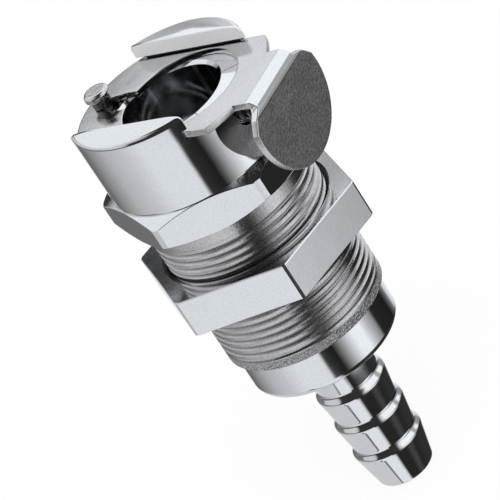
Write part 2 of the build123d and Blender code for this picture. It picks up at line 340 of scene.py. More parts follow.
def rounded(corners: list, steps: float = 12.0, hold: float = 0.04) -> np.ndarray:
    """Outline with arcs at its corners.

    At each corner with a radius, the arc starts and ends radius * tan(turn / 2) from the corner,
    and one more point holds the straight stretch flat just beside it.

    Args:
        corners: (across, along, radius) of each corner, in mm.
        steps: degrees of turn for each piece of an arc.
        hold: distance of the holding point from the arc, in mm.

    Returns:
        Points as an array of (across, along).
    """
    spots = np.array([c[:2] for c in corners], float)
    made = [spots[:1]]
    for before, spot, after, corner in zip(spots, spots[1:], spots[2:], corners[1:]):
        back, on = before - spot, after - spot
        reach = np.linalg.norm(back), np.linalg.norm(on)
        back, on = back / reach[0], on / reach[1]
        turn = math.pi - math.acos(float(np.clip(back @ on, -1, 1)))
        if corner[2] <= 0 or turn < TINY:
            made.append(spot[None])
            continue
        cut = corner[2] * math.tan(turn / 2)
        middle = spot + (back + on) / np.linalg.norm(back + on) * corner[2] / math.cos(turn / 2)
        start, end = spot + back * cut, spot + on * cut
        share = np.linspace(0, 1, max(2, round(math.degrees(turn) / steps)) + 1)[:, None]
        arc = np.sin((1 - share) * turn) * (start - middle) + np.sin(share * turn) * (end - middle)
        holds = [start + back * hold] if reach[0] > cut + 2 * hold else []
        ends = [end + on * hold] if reach[1] > cut + 2 * hold else []
        made.append(np.vstack([*holds, middle + arc / math.sin(turn), *ends]))
    made.append(spots[-1:])
    return np.vstack(made)


def about_axis(r: np.ndarray, angle: np.ndarray, z: np.ndarray) -> np.ndarray:
    """The points (r cos a, r sin a, z)."""
    return np.stack([r * np.cos(angle), r * np.sin(angle), z + 0 * angle], -1)


def turned(profile: np.ndarray, angles: np.ndarray) -> np.ndarray:
    """Surface of revolution: a row for each profile point (r, z), a column for each angle."""
    return about_axis(profile[:, :1], angles, profile[:, 1:])


def full_turn(count: int) -> np.ndarray:
    """Angles of count even steps round the circle."""
    return np.arange(count) * (2 * math.pi / count)


@dataclass
class Grid:
    """A surface as rows and columns of points in mm.

    Its last column joins its first if wraps is set, and its last row its first if loops is set.
    """

    points: np.ndarray
    wraps: bool = True
    loops: bool = False

    def faces(self, first: int) -> np.ndarray:
        """Numbers the corners of the grid's quads.

        Args:
            first: number of the grid's first vertex.

        Returns:
            Four vertex numbers for each quad.
        """
        rows, columns = self.points.shape[:2]
        r = np.arange(rows if self.loops else rows - 1)[:, None]
        c = np.arange(columns if self.wraps else columns - 1)[None]
        below, above = r * columns, (r + 1) % rows * columns
        here, there = c, (c + 1) % columns
        return np.stack([below + here, below + there, above + there, above + here], -1).reshape(-1, 4) + first


def capped(rings: np.ndarray, first: np.ndarray, last: np.ndarray) -> Grid:
    """Closed surface of rings of points, drawn together to one point at each end."""
    ends = [np.broadcast_to(spot, rings[:1].shape) for spot in (first, last)]
    return Grid(np.vstack([ends[0], rings, ends[1]]))


def linked(name: str, data: bpy.types.ID) -> bpy.types.Object:
    """Makes an object of this data and puts it in the scene."""
    made = bpy.data.objects.new(name, data)
    bpy.context.scene.collection.objects.link(made)
    return made


def piece(
    name: str, grids: list, finish: "Finish | bpy.types.Material", sharp: float = 28.0
) -> bpy.types.Object:
    """Makes one object of closed surfaces.

    Args:
        name: the object's name.
        grids: its surfaces.
        finish: its finish, or a material of its own.
        sharp: edges that turn by more than this many degrees stay crisp.

    Returns:
        The object, at the origin.
    """
    firsts = np.cumsum([0] + [g.points.shape[0] * g.points.shape[1] for g in grids])
    spots = np.vstack([g.points.reshape(-1, 3) for g in grids]) * MM
    quads = np.vstack([g.faces(int(n)) for g, n in zip(grids, firsts)])
    mesh = bpy.data.meshes.new(name)
    mesh.from_pydata(spots.tolist(), [], quads.tolist())
    made = linked(name, mesh)
    weld(mesh, sharp)
    mesh.materials.append(finish.material if isinstance(finish, Finish) else finish)
    LOG.info("%s: %d faces", name, len(mesh.polygons))
    return made


def weld(mesh: bpy.types.Mesh, sharp: float) -> None:
    """Closes seams and poles, points every face outwards and shades the mesh smooth.

    Args:
        mesh: the mesh to finish.
        sharp: edges that turn by more than this many degrees stay crisp.
    """
    work = bmesh.new()
    work.from_mesh(mesh)
    bmesh.ops.remove_doubles(work, verts=work.verts, dist=WELD)
    bmesh.ops.dissolve_degenerate(work, edges=work.edges, dist=WELD)
    bmesh.ops.recalc_face_normals(work, faces=work.faces)
    work.to_mesh(mesh)
    work.free()
    mesh.polygons.foreach_set("use_smooth", np.ones(len(mesh.polygons), bool))
    mesh.set_sharp_from_angle(angle=math.radians(sharp))


def bored(target: bpy.types.Object, cutter: bpy.types.Object, sharp: float = 28.0) -> None:
    """Takes the cutter's space out of the target and removes the cutter.

    Args:
        target: the piece that is cut.
        cutter: a closed piece.
        sharp: edges that turn by more than this many degrees stay crisp.
    """
    cut = target.modifiers.new("cut", "BOOLEAN")
    cut.operation, cut.solver, cut.object = "DIFFERENCE", "EXACT", cutter
    bpy.context.view_layer.update()
    graph = bpy.context.evaluated_depsgraph_get()
    cut_mesh = bpy.data.meshes.new_from_object(target.evaluated_get(graph))
    target.modifiers.clear()
    old = target.data
    target.data = cut_mesh
    cut_mesh.name = target.name
    bpy.data.meshes.remove(old)
    bpy.data.objects.remove(cutter)
    weld(cut_mesh, sharp)


def hang(made: bpy.types.Object, body: Body, slot: Slot, *nodes: str) -> None:
    """Puts a piece on its body.

    Args:
        made: the piece.
        body: the body that it rides.
        slot: its material slot; not used.
        nodes: the CAD nodes that it stands for.
    """
    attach(made, body.value)
    if nodes:
        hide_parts(*nodes)


class Finish(Enum):
    """The finishes of the part."""

    BODY = Plated("plated_body_metal")
    SATIN = Moulded("frosted_ear_face", (0.78, 0.79, 0.81), (0.35, 0.45), 0.01)
    # The thread's grooves are painted darker: a painted shade, with a rougher root.
    THREAD = Plated(
        "thread_metal", (0.68, 0.67, 0.68), (0.54, 0.53, 0.53), (0.18, 0.28), grain=0.015,
        root_r=10.44, crest_r=10.67, root_painted_shade=(0.42, 0.40, 0.40), root_haze=0.1,
    )
    THREAD_END = Plated(
        "thread_end_metal", (0.86, 0.86, 0.87), (0.40, 0.39, 0.39), (0.16, 0.3), grain=0.3,
        grain_scale=4200.0,
    )
    NUT = Plated("plated_nut_metal", haze=(0.07, 0.12), grain=0.004)
    PLATE = Plated(
        "plated_latch_metal", (0.66, 0.66, 0.67), (0.60, 0.60, 0.61), (0.09, 0.14), grain=0.004
    )
    # Satin pad: rougher plating, its colour set low to stand for the dark surround it mirrors, a painted
    # reflection.
    PAD = Plated(
        "satin_pad_painted_reflection_metal", (0.48, 0.47, 0.47), (0.32, 0.31, 0.31), (0.38, 0.44), grain=0.05,
        grain_scale=2900.0,
    )
    # The recess is painted dark from 8.2 mm up: a painted shade.
    RECESS = Plated(
        "recess_metal", (0.86, 0.83, 0.84), (0.74, 0.71, 0.72), (0.2, 0.3), grain=0.02,
        dim_from=8.2, dim_to=11.0, dim_painted_shade=(0.16, 0.15, 0.15),
    )
    SHEARED = Plated(
        "sheared_edge_metal", (0.86, 0.86, 0.87), (0.70, 0.70, 0.71), (0.3, 0.4), grain=0.03
    )
    # Dark colour for undercuts and bores: a painted shade.
    PAINTED_SHADE = Plated(
        "painted_shade_metal", (0.16, 0.16, 0.16), (0.06, 0.06, 0.06), (0.3, 0.4), grain=0.02
    )
    # Dark colour for the pin below its head: a painted shade.
    SHANK_PAINTED_SHADE = Plated(
        "pin_shank_painted_shade_metal", (0.24, 0.22, 0.20), (0.10, 0.09, 0.08), (0.2, 0.3), grain=0.04
    )
    PIN = Plated("pin_metal", (0.80, 0.79, 0.79), (0.58, 0.57, 0.57), (0.14, 0.22), grain=0.03)
    WIRE = Plated(
        "spring_wire_metal", (0.42, 0.42, 0.43), (0.30, 0.30, 0.31), (0.2, 0.3), grain=0.02
    )
    SEAL = Moulded("seal_rubber_black", (0.02, 0.02, 0.02), (0.45, 0.6))
    VALVE = Moulded("valve_plastic_black", (0.025, 0.025, 0.027), (0.35, 0.5))

    @cached_property
    def material(self) -> bpy.types.Material:
        """The finish's material, made at its first use."""
        return self.value.material()


def off_axis(points: np.ndarray) -> np.ndarray:
    """Distance of each point from the coupling's axis."""
    return np.hypot(points[:, 0], points[:, 1])


def second_finish(made: bpy.types.Object, finish: Finish, chosen: Callable) -> None:
    """Gives some faces another finish.

    Args:
        made: the piece.
        finish: the other finish.
        chosen: tells from face centres in mm and normals which faces take it.
    """
    count = len(made.data.polygons)
    centres, normals = np.empty(count * 3), np.empty(count * 3)
    made.data.polygons.foreach_get("center", centres)
    made.data.polygons.foreach_get("normal", normals)
    made.data.materials.append(finish.material)
    slots = np.empty(count, np.int32)
    made.data.polygons.foreach_get("material_index", slots)
    faces = chosen(centres.reshape(-1, 3) / MM, normals.reshape(-1, 3))
    slots[faces] = len(made.data.materials) - 1
    made.data.polygons.foreach_set("material_index", slots)


def hexagon(flats: float, corner_r: float, over_flat: int, over_corner: int) -> tuple:
    """Hexagon whose corners are turned down to a circle.

    In each direction it reaches half the flats over the cosine of the angle from the nearest
    flat, and no further than the circle.

    Args:
        flats: width across the flats in mm.
        corner_r: radius of the circle in mm.
        over_flat: columns over each flat.
        over_corner: columns over each corner, the flats' own last ones with them.

    Returns:
        The directions in radians and the reach in each of them in mm.
    """
    corner = math.degrees(math.acos(flats / 2 / corner_r))
    between = np.linspace(corner, 60 - corner, over_corner)[1:-1]
    one = np.concatenate([np.linspace(-corner, corner, over_flat), between])
    angle = np.radians((one[None] + np.arange(6)[:, None] * 60).ravel())
    off = (angle + math.pi / 6) % (math.pi / 3) - math.pi / 6
    return angle, np.minimum(flats / 2 / np.cos(off), corner_r)


@dataclass
class Head:
    """Lower part of the head, below the slot: recess behind the pad, plug bore and valve seat."""

    r: float = 11.75
    bottom: float = 4.55
    top: float = 12.2
    recess_r: float = 6.3
    recess_z: float = 9.9
    recess_x: float = 9.9
    pocket_r: float = 2.3
    pocket_z: float = 9.6
    pocket_x: float = 7.7
    pocket_reach: float = 5.0
    well_x: float = -9.05
    well_r: float = 1.56
    well_depth: float = 7.2
    bore_r: float = 6.9
    bore_lead: float = 0.4
    seat: float = -2.4
    throat_r: float = 4.6
    throat: float = 1.2
    flare: float = 1.6
    skirt_r: float = 8.0
    foot: float = -5.2
    rows: int = 26
    round_columns: int = 150
    back_columns: int = 25
    side_columns: int = 4
    hole_columns: int = 48

    def outline(self, z: np.ndarray) -> np.ndarray:
        """Level outlines: the circle of the head with the recess cut in from +X.

        At height z the recess is as wide as the chord of its round outline there.

        Args:
            z: heights in mm.

        Returns:
            Points (x, y) for each height, going round once.
        """
        half = np.sqrt(np.maximum(self.recess_r**2 - (z - self.recess_z) ** 2, 0))[:, None]
        start = np.arcsin(half / self.r)
        angle = start + np.linspace(0, 1, self.round_columns)[None] * (2 * math.pi - 2 * start)
        edge = np.sqrt(self.r**2 - half**2)
        inward = np.linspace(0, 1, self.side_columns)[None, 1:]
        across = np.linspace(-1, 1, self.back_columns)[None, 1:]
        back = self.recess_x
        x = np.hstack([
            self.r * np.cos(angle), edge + (back - edge) * inward, back + 0 * across * half,
            back + (edge - back) * inward[:, :-1],
        ])
        y = np.hstack([
            self.r * np.sin(angle), -half + 0 * inward, half * across, half + 0 * inward[:, :-1],
        ])
        return np.stack([x, y], -1)

    def surface(self) -> Grid:
        """The closed wall: up outside, across the slot's floor, down the bore, up outside the skirt.

        Returns:
            The level outlines, joined to the bore and the skirt turned about the axis.
        """
        z = np.linspace(self.bottom, self.top, self.rows)
        outer = self.outline(z)
        outer = np.dstack([outer, np.broadcast_to(z[:, None], outer.shape[:2])])
        angle = np.arctan2(outer[-1, :, 1], outer[-1, :, 0])
        throat_end = self.seat - self.throat
        profile = rounded([
            (self.bore_r + self.bore_lead, self.top, 0), (self.bore_r, self.top - self.bore_lead, 0),
            (self.bore_r, self.seat, 0.1), (self.throat_r, self.seat, 0.1), (self.throat_r, throat_end, 0.05),
            (self.throat_r + self.flare, throat_end - self.flare, 0), (self.skirt_r, self.foot, 0),
            (self.skirt_r, self.bottom, 0),
        ])
        return Grid(np.vstack([outer, turned(profile, angle)]), loops=True)

    def dress(self) -> None:
        """Makes the head's lower part, with the pocket of the spring and the well of the pin cut in."""
        made = piece("housing_head", [self.surface()], Finish.BODY)
        unit = np.array([(0, -1.0), (1, -1.0), (1, 1.0), (0, 1.0)])
        hole = turned(unit, full_turn(self.hole_columns))
        across, along, up = np.moveaxis(hole, -1, 0)
        pocket = np.stack([
            self.pocket_x + (up + 1) * self.pocket_reach / 2, across * self.pocket_r,
            self.pocket_z + along * self.pocket_r,
        ], -1)
        well = np.stack([
            self.well_x + across * self.well_r, along * self.well_r, self.top + up * self.well_depth,
        ], -1)
        for name, space in (("pocket_cutter", pocket), ("well_cutter", well)):
            bored(made, piece(name, [Grid(space)], Finish.BODY))
        # The recess's back face takes the recess finish, painted dark towards the top as shade.
        second_finish(
            made, Finish.RECESS, lambda at, n: (n[:, 0] > SQUARE) & (at[:, 0] < self.recess_x + TOUCH)
        )
        hang(made, Body.HOUSING, Slot.BODY, "coupling_housing")


@dataclass
class Ears:
    """The two ears beside the slot: segments of the crowned head, undercut for the latch plate."""

    r: float = 11.75
    bottom: float = 12.2
    under: float = 13.4
    top: float = 15.4
    gap: float = 8.0
    undercut: float = 8.5
    crown_r: float = 10.0
    rim_r: float = 11.2
    rim_z: float = 15.2
    rim_round: float = 0.55
    edge: float = 0.1
    end_cut: float = 0.35
    shade_r: float = 11.0
    rim_rows: int = 7
    chord_columns: int = 17
    arc_columns: int = 81

    def surface(self, side: int) -> Grid:
        """One ear as a stack of circle segments, capped at both ends.

        At each height the segment lies between its chord, at the slot's half width there, and the arc
        of the head's radius there, with its two sharp ends cut off.

        Args:
            side: 1 for the ear at +Y, -1 for the one at -Y.

        Returns:
            The closed surface.
        """
        turn = np.radians(np.linspace(0, 90, self.rim_rows))
        rim_r = self.r - self.rim_round * (1 - np.cos(turn))
        rim_z = self.rim_z - self.rim_round * (1 - np.sin(turn))
        crown = (self.rim_r - self.crown_r) / (self.top - self.rim_z)
        levels = [
            (self.bottom, self.undercut, self.r), (self.under, self.undercut, self.r),
            (self.under, self.gap + self.edge, self.r), (self.under + self.edge, self.gap, self.r),
            (self.rim_z - self.rim_round - 2 * TOUCH, self.gap, self.r),
            *[(z, self.gap, r) for r, z in zip(rim_r, rim_z)],
            (self.top - self.edge, self.gap, self.crown_r + crown * self.edge),
            (self.top, self.gap + self.edge, self.crown_r),
        ]
        z, chord, r = (np.array(v)[:, None] for v in zip(*levels))
        half = np.sqrt(r**2 - chord**2) - self.end_cut
        start = np.arcsin(chord / r) + self.end_cut / r
        straight = np.sin(np.linspace(-1, 1, self.chord_columns) * math.pi / 2)[None]
        share = np.linspace(0, 1, self.arc_columns)[None]
        angle = start + share * (math.pi - 2 * start)
        x = np.hstack([half * straight, r * np.cos(angle)])
        y = np.hstack([chord + 0 * straight, r * np.sin(angle)])
        walls = np.stack([x, y * side, z + 0 * x], -1)
        middle = np.array([0, (self.gap + self.crown_r) / 2 * side, 0])
        return capped(walls, middle + (0, 0, self.bottom), middle + (0, 0, self.top))

    def dress(self) -> None:
        """Makes both ears."""
        for name, side in (("housing_ear_far", 1), ("housing_ear_near", -1)):
            made = piece(name, [self.surface(side)], Finish.BODY)
            second_finish(
                made, Finish.SATIN,
                lambda at, n: (np.abs(at[:, 1]) < self.gap + TOUCH) & (at[:, 2] > self.under),
            )
            # The undercut below each ear's lip is painted dark: a painted shade over the plate.
            second_finish(
                made, Finish.PAINTED_SHADE,
                lambda at, n: (at[:, 2] < self.under + TOUCH) & (off_axis(at) < self.shade_r),
            )
            hang(made, Body.HOUSING, Slot.BODY)


@dataclass
class Flange:
    """Hexagonal flange, turned down at its corners on both faces."""

    flats: float = 23.8
    corner_r: float = 13.5
    thick: float = 4.55
    slope: float = 30.0
    hole_r: float = 8.1
    edge: float = 0.06

    def surface(self) -> Grid:
        """The hexagon, whose two cones rise from the flats' circle to its corners.

        Returns:
            The closed ring: over the lower face, up the walls and back over the upper one.
        """
        angle, reach = hexagon(self.flats, self.corner_r, over_flat=37, over_corner=4)
        rise = (reach - self.flats / 2) * math.tan(math.radians(self.slope))
        e = self.edge
        rows = [
            (self.hole_r + 0 * reach, 0 * rise), (self.flats / 2 - TOUCH + 0 * reach, 0 * rise),
            (reach - e, rise - e / 2), (reach - e * BREAK, rise + e / 4), (reach, rise + e),
            (reach, rise + 3 * e),
        ]
        rows += [(r, self.thick - h) for r, h in reversed(rows)]
        r, z = (np.array(v) for v in zip(*rows))
        return Grid(about_axis(r, angle, np.clip(z, 0, self.thick)), loops=True)

    def dress(self) -> None:
        """Makes the flange."""
        made = piece("housing_flange", [self.surface()], Finish.BODY, sharp=16.0)
        hang(made, Body.HOUSING, Slot.BODY)


@dataclass
class Barrel:
    """Neck and barrel with a true helical thread."""

    r: float = 10.7
    pitch: float = 1.06
    depth: float = 0.28
    start: float = -1.8
    last: float = -20.1
    end: float = -21.38
    hole_r: float = 8.2
    step: float = -16.38
    chamber_r: float = 8.1
    lead: float = 0.15
    crest: float = 0.42
    power: float = 1.3
    end_r: float = 9.0
    columns: int = 180
    samples: int = 14

    def depth_at(self, phase: np.ndarray) -> np.ndarray:
        """Share of the thread's depth over one pitch: flat crest, then a groove like half a sine."""
        inside = np.clip((phase % 1.0 - self.crest) / (1 - self.crest), 0, 1)
        return np.sin(inside * math.pi) ** self.power

    def surface(self) -> Grid:
        """The barrel with its thread, whose rows run along the helix.

        Height falls by one pitch in each turn, and all that would pass an end of the thread is
        gathered on that end, where the groove fades out.

        Returns:
            The closed surface, with a seam at angle 0.
        """
        angle = np.append(full_turn(self.columns), 2 * math.pi)
        turns = math.ceil((self.start - self.last) / self.pitch) + 2
        phase = np.arange(turns * self.samples + 1)[:, None] / self.samples
        z = self.start + self.pitch * (1 - phase + angle / (2 * math.pi))
        share = np.clip((self.start - z) / self.pitch, 0, 1) * np.clip((z - self.last) / self.pitch, 0, 1)
        r = self.r - self.depth * self.depth_at(phase + 0 * angle) * share
        thread = about_axis(r, angle, np.clip(z, self.last, self.start))
        neck = rounded([(self.chamber_r, 0, 0), (self.r, 0, 0), (self.r, self.start, 0)])
        rest = rounded([
            (self.r, self.last, 0), (self.r, self.end + self.lead, 0.05),
            (self.r - self.lead, self.end, 0.05), (self.hole_r, self.end, 0), (self.hole_r, self.step, 0),
            (self.chamber_r, self.step, 0), (self.chamber_r, 0, 0),
        ])
        rows = np.vstack([turned(neck, angle), thread, turned(rest, angle)])
        return Grid(rows, wraps=False, loops=True)

    def dress(self) -> None:
        """Makes the barrel, whose end below the thread is grainy."""
        # The thread's grooves are painted darker as shade.
        made = piece("housing_barrel", [self.surface()], Finish.THREAD, sharp=40.0)
        second_finish(
            made, Finish.THREAD_END,
            lambda at, n: (at[:, 2] < self.last - TOUCH) & (off_axis(at) > self.end_r),
        )
        hang(made, Body.HOUSING, Slot.BODY)


@dataclass
class PanelNut:
    """Plain hexagonal nut with finely broken edges."""

    flats: float = 25.4
    top: float = -6.7
    thick: float = 5.2
    flat_at: float = 47.8
    edge: float = 0.12
    hole_r: float = 10.75
    lead: float = 0.6

    def surface(self) -> Grid:
        """The hexagon, with small flats on its upright corners and a small chamfer on both faces.

        Returns:
            The closed ring: out over the lower face, up the walls, in over the upper one and down
            the hole.
        """
        corner_r = self.flats / 2 / math.cos(math.pi / 6) - self.edge
        angle, reach = hexagon(self.flats, corner_r, over_flat=31, over_corner=3)
        bottom = self.top - self.thick
        lead = self.hole_r + self.lead
        rows = [
            (self.hole_r, bottom + self.lead), (lead, bottom), (reach - self.edge, bottom),
            (reach, bottom + self.edge), (reach, self.top - self.edge), (reach - self.edge, self.top),
            (lead, self.top), (self.hole_r, self.top - self.lead),
        ]
        r, z = (np.array([row[i] + 0 * reach for row in rows]) for i in (0, 1))
        return Grid(about_axis(r, angle + math.radians(self.flat_at), z), loops=True)

    def dress(self) -> None:
        """Makes the nut."""
        made = piece("panel_nut_hexagon", [self.surface()], Finish.NUT, sharp=12.0)
        # The nut's bore and its chamfer are painted dark: a painted shade round the thread.
        second_finish(made, Finish.PAINTED_SHADE, lambda at, n: off_axis(at) < self.hole_r + self.lead)
        hang(made, Body.NUT, Slot.NUT, "panel_nut")


@dataclass
class HoseStem:
    """Rear end: smooth collar and hose stem with its barbs."""

    top: float = -17.98
    shoulder: float = -21.38
    spigot_r: float = 8.16
    collar_r: float = 9.93
    collar_end: float = -26.88
    collar_round: float = 0.9
    neck_r: float = 4.19
    barb_r: float = 4.72
    first: float = -32.2
    pitch: float = 4.75
    count: int = 3
    rise: float = 0.75
    land: float = 0.35
    back_round: float = 0.8
    crest_round: float = 0.5
    edge_round: float = 0.12
    tip_r: float = 3.75
    tip: float = -47.68
    flow_r: float = 2.6
    inlet_r: float = 5.0
    inlet_rise: float = 2.4
    columns: int = 192

    def surface(self) -> Grid:
        """The stem turned from its profile: each barb has a round back and falls in a long cone.

        Returns:
            The closed surface, down outside and up through the bore.
        """
        corners = [
            (self.inlet_r, self.top, 0), (self.spigot_r, self.top, 0.2), (self.spigot_r, self.shoulder, 0),
            (self.collar_r, self.shoulder, 0.08), (self.collar_r, self.collar_end, self.collar_round),
            (self.neck_r, self.collar_end, 0.15),
        ]
        for barb in range(self.count):
            start = self.first - barb * self.pitch
            corners += [
                (self.neck_r, start, self.back_round), (self.barb_r, start - self.rise, self.crest_round),
                (self.barb_r, start - self.rise - self.land, self.edge_round),
            ]
        corners += [
            (self.tip_r, self.tip, 0.3), (self.flow_r, self.tip, 0.15),
            (self.flow_r, self.collar_end + self.inlet_rise, 0.1),
            (self.inlet_r, self.collar_end + 2 * self.inlet_rise, 0.1), (self.inlet_r, self.top, 0),
        ]
        return Grid(turned(rounded(corners, steps=9.0)[:-1], full_turn(self.columns)), loops=True)

    def dress(self) -> None:
        """Makes the rear end."""
        made = piece("hose_stem", [self.surface()], Finish.BODY)
        hang(made, Body.HOUSING, Slot.BODY, "barb_adapter")


@dataclass
class ThumbLatch:
    """Latch plate with its opening and keyhole, the bend and the round thumb pad."""

    bottom: float = 12.25
    thick: float = 0.9
    half_width: float = 8.45
    tail_r: float = 11.5
    reach_r: float = 13.8
    neck_half: float = 4.85
    travel: float = 2.6
    hole_r: float = 7.65
    pin_x: float = -9.05
    key_end_r: float = 1.07
    key_wide_r: float = 1.62
    bend_x: float = 14.85
    bend_inner: float = 0.7
    pad_x: float = 15.55
    pad_z: float = 8.85
    pad_r: float = 7.68
    flare: float = 1.55
    shoulder: float = 1.5
    edge: float = 0.12
    sheared_r: float = 9.5
    steep: float = 0.8
    sideways: float = 0.5
    bend_rows: int = 31
    pad_columns: int = 360

    @property
    def top(self) -> float:
        """Height of the plate's upper face."""
        return self.bottom + self.thick

    @property
    def bend_z(self) -> float:
        """Height of the bend's axis."""
        return self.top - self.bend_inner - self.thick

    def hole(self, angle: np.ndarray) -> np.ndarray:
        """Distance from the opening's centre to the edge of opening and keyhole, in each direction.

        It is the furthest of the round opening, the keyhole's wide stretch and its tapered end.

        Args:
            angle: directions in radians, from +X.

        Returns:
            Distances in mm.
        """
        off = np.maximum(np.abs(angle % (2 * math.pi) - math.pi), TINY)
        wide = -self.pin_x
        far = self.travel - self.pin_x
        strip = np.minimum(wide / np.maximum(np.cos(off), TINY), self.key_wide_r / np.sin(off))
        lean = math.asin((self.key_wide_r - self.key_end_r) / (far - wide))
        line = (self.key_wide_r + wide * math.sin(lean)) / np.maximum(np.sin(off + lean), TINY)
        bend = self.key_end_r**2 - (far * np.sin(off)) ** 2
        cap = np.where(bend >= 0, far * np.cos(off) + np.sqrt(np.maximum(bend, 0)), 0)
        limit = math.atan2(self.key_end_r * math.cos(lean), far + self.key_end_r * math.sin(lean))
        wide_at = math.atan2(self.key_wide_r * math.cos(lean), wide + self.key_wide_r * math.sin(lean))
        tapered = np.where(off <= limit, cap, np.where(off <= wide_at, line, 0))
        strip = np.where(off < math.pi / 2, strip, 0)
        return np.maximum(np.maximum(self.hole_r, strip), tapered)

    def outline(self, angle: np.ndarray) -> np.ndarray:
        """Distance from the opening's centre to the plate's edge, in each direction.

        Args:
            angle: directions in radians, from +X.

        Returns:
            Distances in mm: the nearest of the sides and the two arcs about the axis, or the neck's.
        """
        c, s = np.cos(angle), np.sin(angle)
        centre = self.travel
        beside, ahead = np.maximum(np.abs(s), TINY), np.maximum(c, TINY)
        side = self.half_width / beside
        arc_r = np.where(c < 0, self.tail_r, self.reach_r)
        crossing = -centre * c + np.sqrt(arc_r**2 - (centre * s) ** 2)
        tail = -centre * c + np.sqrt(self.tail_r**2 - (centre * s) ** 2)
        body = np.minimum(side, np.where(centre + side * c < 0, tail, crossing))
        neck = np.minimum(self.neck_half / beside, (self.bend_x - centre) / ahead)
        return np.where(c > 0, np.maximum(body, neck), body)

    def directions(self) -> np.ndarray:
        """Directions of the plate's columns: even steps, and three close ones at every corner.

        Returns:
            The directions in radians, going round once from +X.
        """
        centre, close, clear = self.travel, 0.02, 0.015
        arc = math.sqrt(self.reach_r**2 - self.half_width**2)
        root = math.sqrt(self.reach_r**2 - self.neck_half**2)
        tail = math.sqrt(self.tail_r**2 - self.half_width**2)
        mouth = math.pi - math.asin(self.key_wide_r / self.hole_r)
        corners = [
            math.atan2(self.half_width, arc - centre), math.atan2(self.neck_half, root - centre),
            math.atan2(self.neck_half, self.bend_x - centre),
            math.atan2(self.half_width, -tail - centre), mouth,
        ]
        step, fine, fine_steps = 1.25, 14, 41
        coarse = np.arange(0, 180 - fine, step)
        even = np.radians(np.concatenate([coarse, 180 - np.linspace(0, fine, fine_steps)]))
        far = np.min(np.abs(even[:, None] - np.array(corners)), 1) > clear
        near = np.concatenate([c + np.array([-close, 0, close]) for c in corners])
        half = np.sort(np.concatenate([even[far], near]))
        return np.concatenate([half, -half[(half > 0) & (half < math.pi - TINY)][::-1]])

    @staticmethod
    def inset(loop: np.ndarray, distance: float) -> np.ndarray:
        """Moves each point of a closed outline square to both of its sides.

        Args:
            loop: points going round counterclockwise.
            distance: how far to the left, in mm.

        Returns:
            The move of each point.
        """
        along = np.roll(loop, -1, 0) - loop
        left = np.stack([-along[:, 1], along[:, 0]], 1) / np.linalg.norm(along, axis=1, keepdims=True)
        before, least = np.roll(left, 1, 0), 0.4
        return (left + before) / np.maximum(1 + (left * before).sum(1, keepdims=True), least) * distance

    def plate(self) -> Grid:
        """The plate as a ring from the opening to the outline.

        Its edges are broken all round, except where the bend goes on.

        Returns:
            The closed ring: up the opening, out over the top, down the outline and back below.
        """
        angle = self.directions()
        way = np.stack([np.cos(angle), np.sin(angle)], 1)
        centre = np.array([self.travel, 0])
        inner = centre + way * self.hole(angle)[:, None]
        outer = centre + way * self.outline(angle)[:, None]
        into, back = self.inset(inner, -self.edge), self.inset(outer, self.edge)
        back[np.abs(outer[:, 0] - self.bend_x) < ON_LINE] = 0
        low, high, e = self.bottom, self.top, self.edge
        rows = [
            (inner, low + e), (inner, high - e), (inner + into * BREAK, high - e * BREAK),
            (inner + into, high), (inner + into * HOLD, high), ((inner + outer) / 2, high),
            (outer + back * HOLD, high), (outer + back, high), (outer + back * BREAK, high - e * BREAK),
            (outer, high - e), (outer, low + e), (outer + back, low), ((inner + outer) / 2, low),
            (inner + into, low),
        ]
        return Grid(np.stack([np.column_stack([p, np.full(len(p), z)]) for p, z in rows]), loops=True)

    def bend(self) -> Grid:
        """The quarter bend: a rounded section carried round the bend's axis, flaring below the plate.

        Returns:
            The closed surface, capped at both ends.
        """
        turn = np.radians(np.linspace(0, 90, self.bend_rows))[:, None]
        half, e = self.neck_half, self.edge
        section = rounded([
            (0, self.bend_inner, 0), (half, self.bend_inner, e), (half, self.bend_inner + self.thick, e),
            (-half, self.bend_inner + self.thick, e), (-half, self.bend_inner, e), (0, self.bend_inner, 0),
        ], steps=30)[:-1]
        r = section[:, 1]
        x = self.bend_x + r * np.sin(turn)
        z = self.bend_z + r * np.cos(turn)
        wider = 1 + np.clip((self.bottom - z) / (self.bottom - self.bend_z), 0, 1) * self.flare / half
        ring = np.stack([x, section[:, 0] * wider, z], -1)
        sunk = 0.03
        ring = np.vstack([ring[:1] - (sunk, 0, 0), ring, ring[-1:] - (0, 0, sunk)])
        return capped(ring, ring[0].mean(0), ring[-1].mean(0))

    def pad(self) -> Grid:
        """The round pad, cut level at the bend and slanted beside it, with broken edges.

        In each direction it reaches the nearest of the circle, the slant and the level cut.

        Returns:
            The closed surface: out over the back, round the edge and in over the front.
        """
        angle = full_turn(self.pad_columns) + math.pi / 2
        c, s = np.cos(angle), np.sin(angle)
        rise = self.bend_z - self.pad_z
        root = self.neck_half + self.flare
        normal = np.array([self.shoulder, self.pad_r - root])
        facing = np.abs(c) * normal[0] + s * normal[1]
        cut = (np.array([root, rise]) @ normal) / np.maximum(facing, TINY)
        reach = np.minimum(np.minimum(self.pad_r, cut), rise / np.maximum(s, TINY))
        loop = np.stack([reach * c, reach * s], 1)
        back = self.inset(loop, self.edge)
        e, high, hold = self.edge, self.thick, 1.8
        back[(np.abs(loop[:, 1] - rise) < ON_LINE) & (np.abs(loop[:, 0]) < root - 2 * e)] = 0
        rows = [
            (loop * 0, 0), (loop / 2, 0), (loop + back, 0), (loop, e), (loop, high - e),
            (loop + back * BREAK, high - e * BREAK), (loop + back, high), (loop + back * hold, high),
            (loop / 2, high), (loop * 0, high),
        ]
        return Grid(np.stack([
            np.column_stack([np.full(len(p), self.pad_x + x), p[:, 0], self.pad_z + p[:, 1]]) for p, x in rows
        ]))

